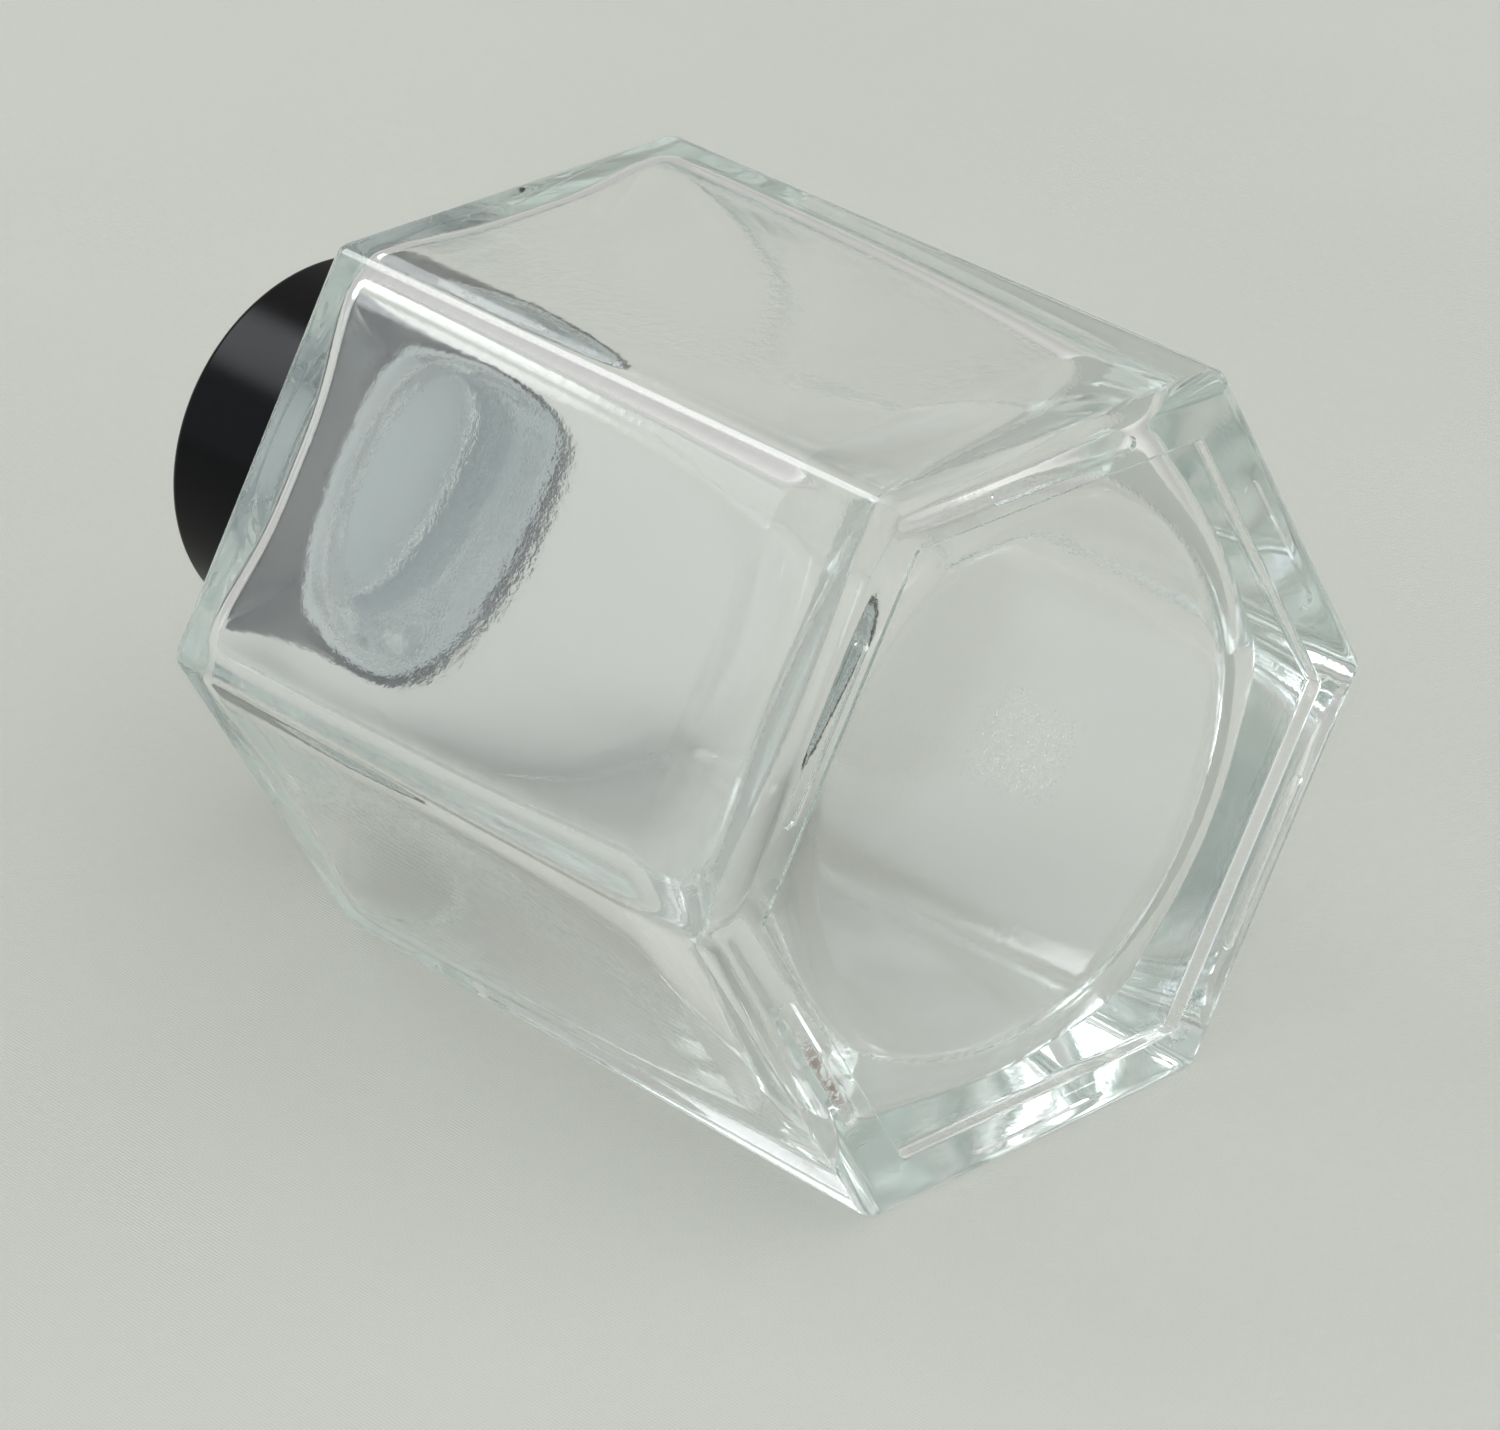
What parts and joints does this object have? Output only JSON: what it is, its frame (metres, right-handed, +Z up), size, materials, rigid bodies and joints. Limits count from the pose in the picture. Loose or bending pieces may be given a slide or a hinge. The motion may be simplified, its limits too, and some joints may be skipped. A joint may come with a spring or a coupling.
{
  "type": "disinfectant jar",
  "caption": "Hexagonal clear glass jar with a recessed base, a sloping shoulder and a round black screw cap that has a pale threaded insert and a sealing liner.",
  "frame": {"origin": "on the jar's axis, level with the bearing rim of the base", "axes": "+Z up the jar's axis towards the cap; two upright corners of the hexagon lie on the X axis, and two flats face +Y and -Y"},
  "size_m": [0.0916, 0.08, 0.1147],
  "materials": {
    "clear_glass": "clear, faintly aqua where it is thick",
    "black_plastic": "satin gloss",
    "pale_plastic": "moulded, slightly translucent",
    "liner_foam": "smooth pressed face"
  },
  "bodies": {
    "jar": {"glass_jar": "clear_glass"},
    "liner": {"cap_liner": "liner_foam"},
    "cap": {"cap_shell": "black_plastic", "cap_insert": "pale_plastic"}
  },
  "joints": [
    {"name": "cap_rise", "type": "slide", "parent": "jar", "child": "liner", "axis": [0, 0, 1], "range_m": [0, 0.0127]},
    {"name": "cap_turn", "type": "hinge", "parent": "liner", "child": "cap", "pos_m": [0, 0, 0.1], "axis": [0, 0, 1], "range_deg": [0, 1080]}
  ],
  "couplings": [
    {"joint": "cap_rise", "follows": "cap_turn", "m_per_rad": 0.00067322}
  ]
}
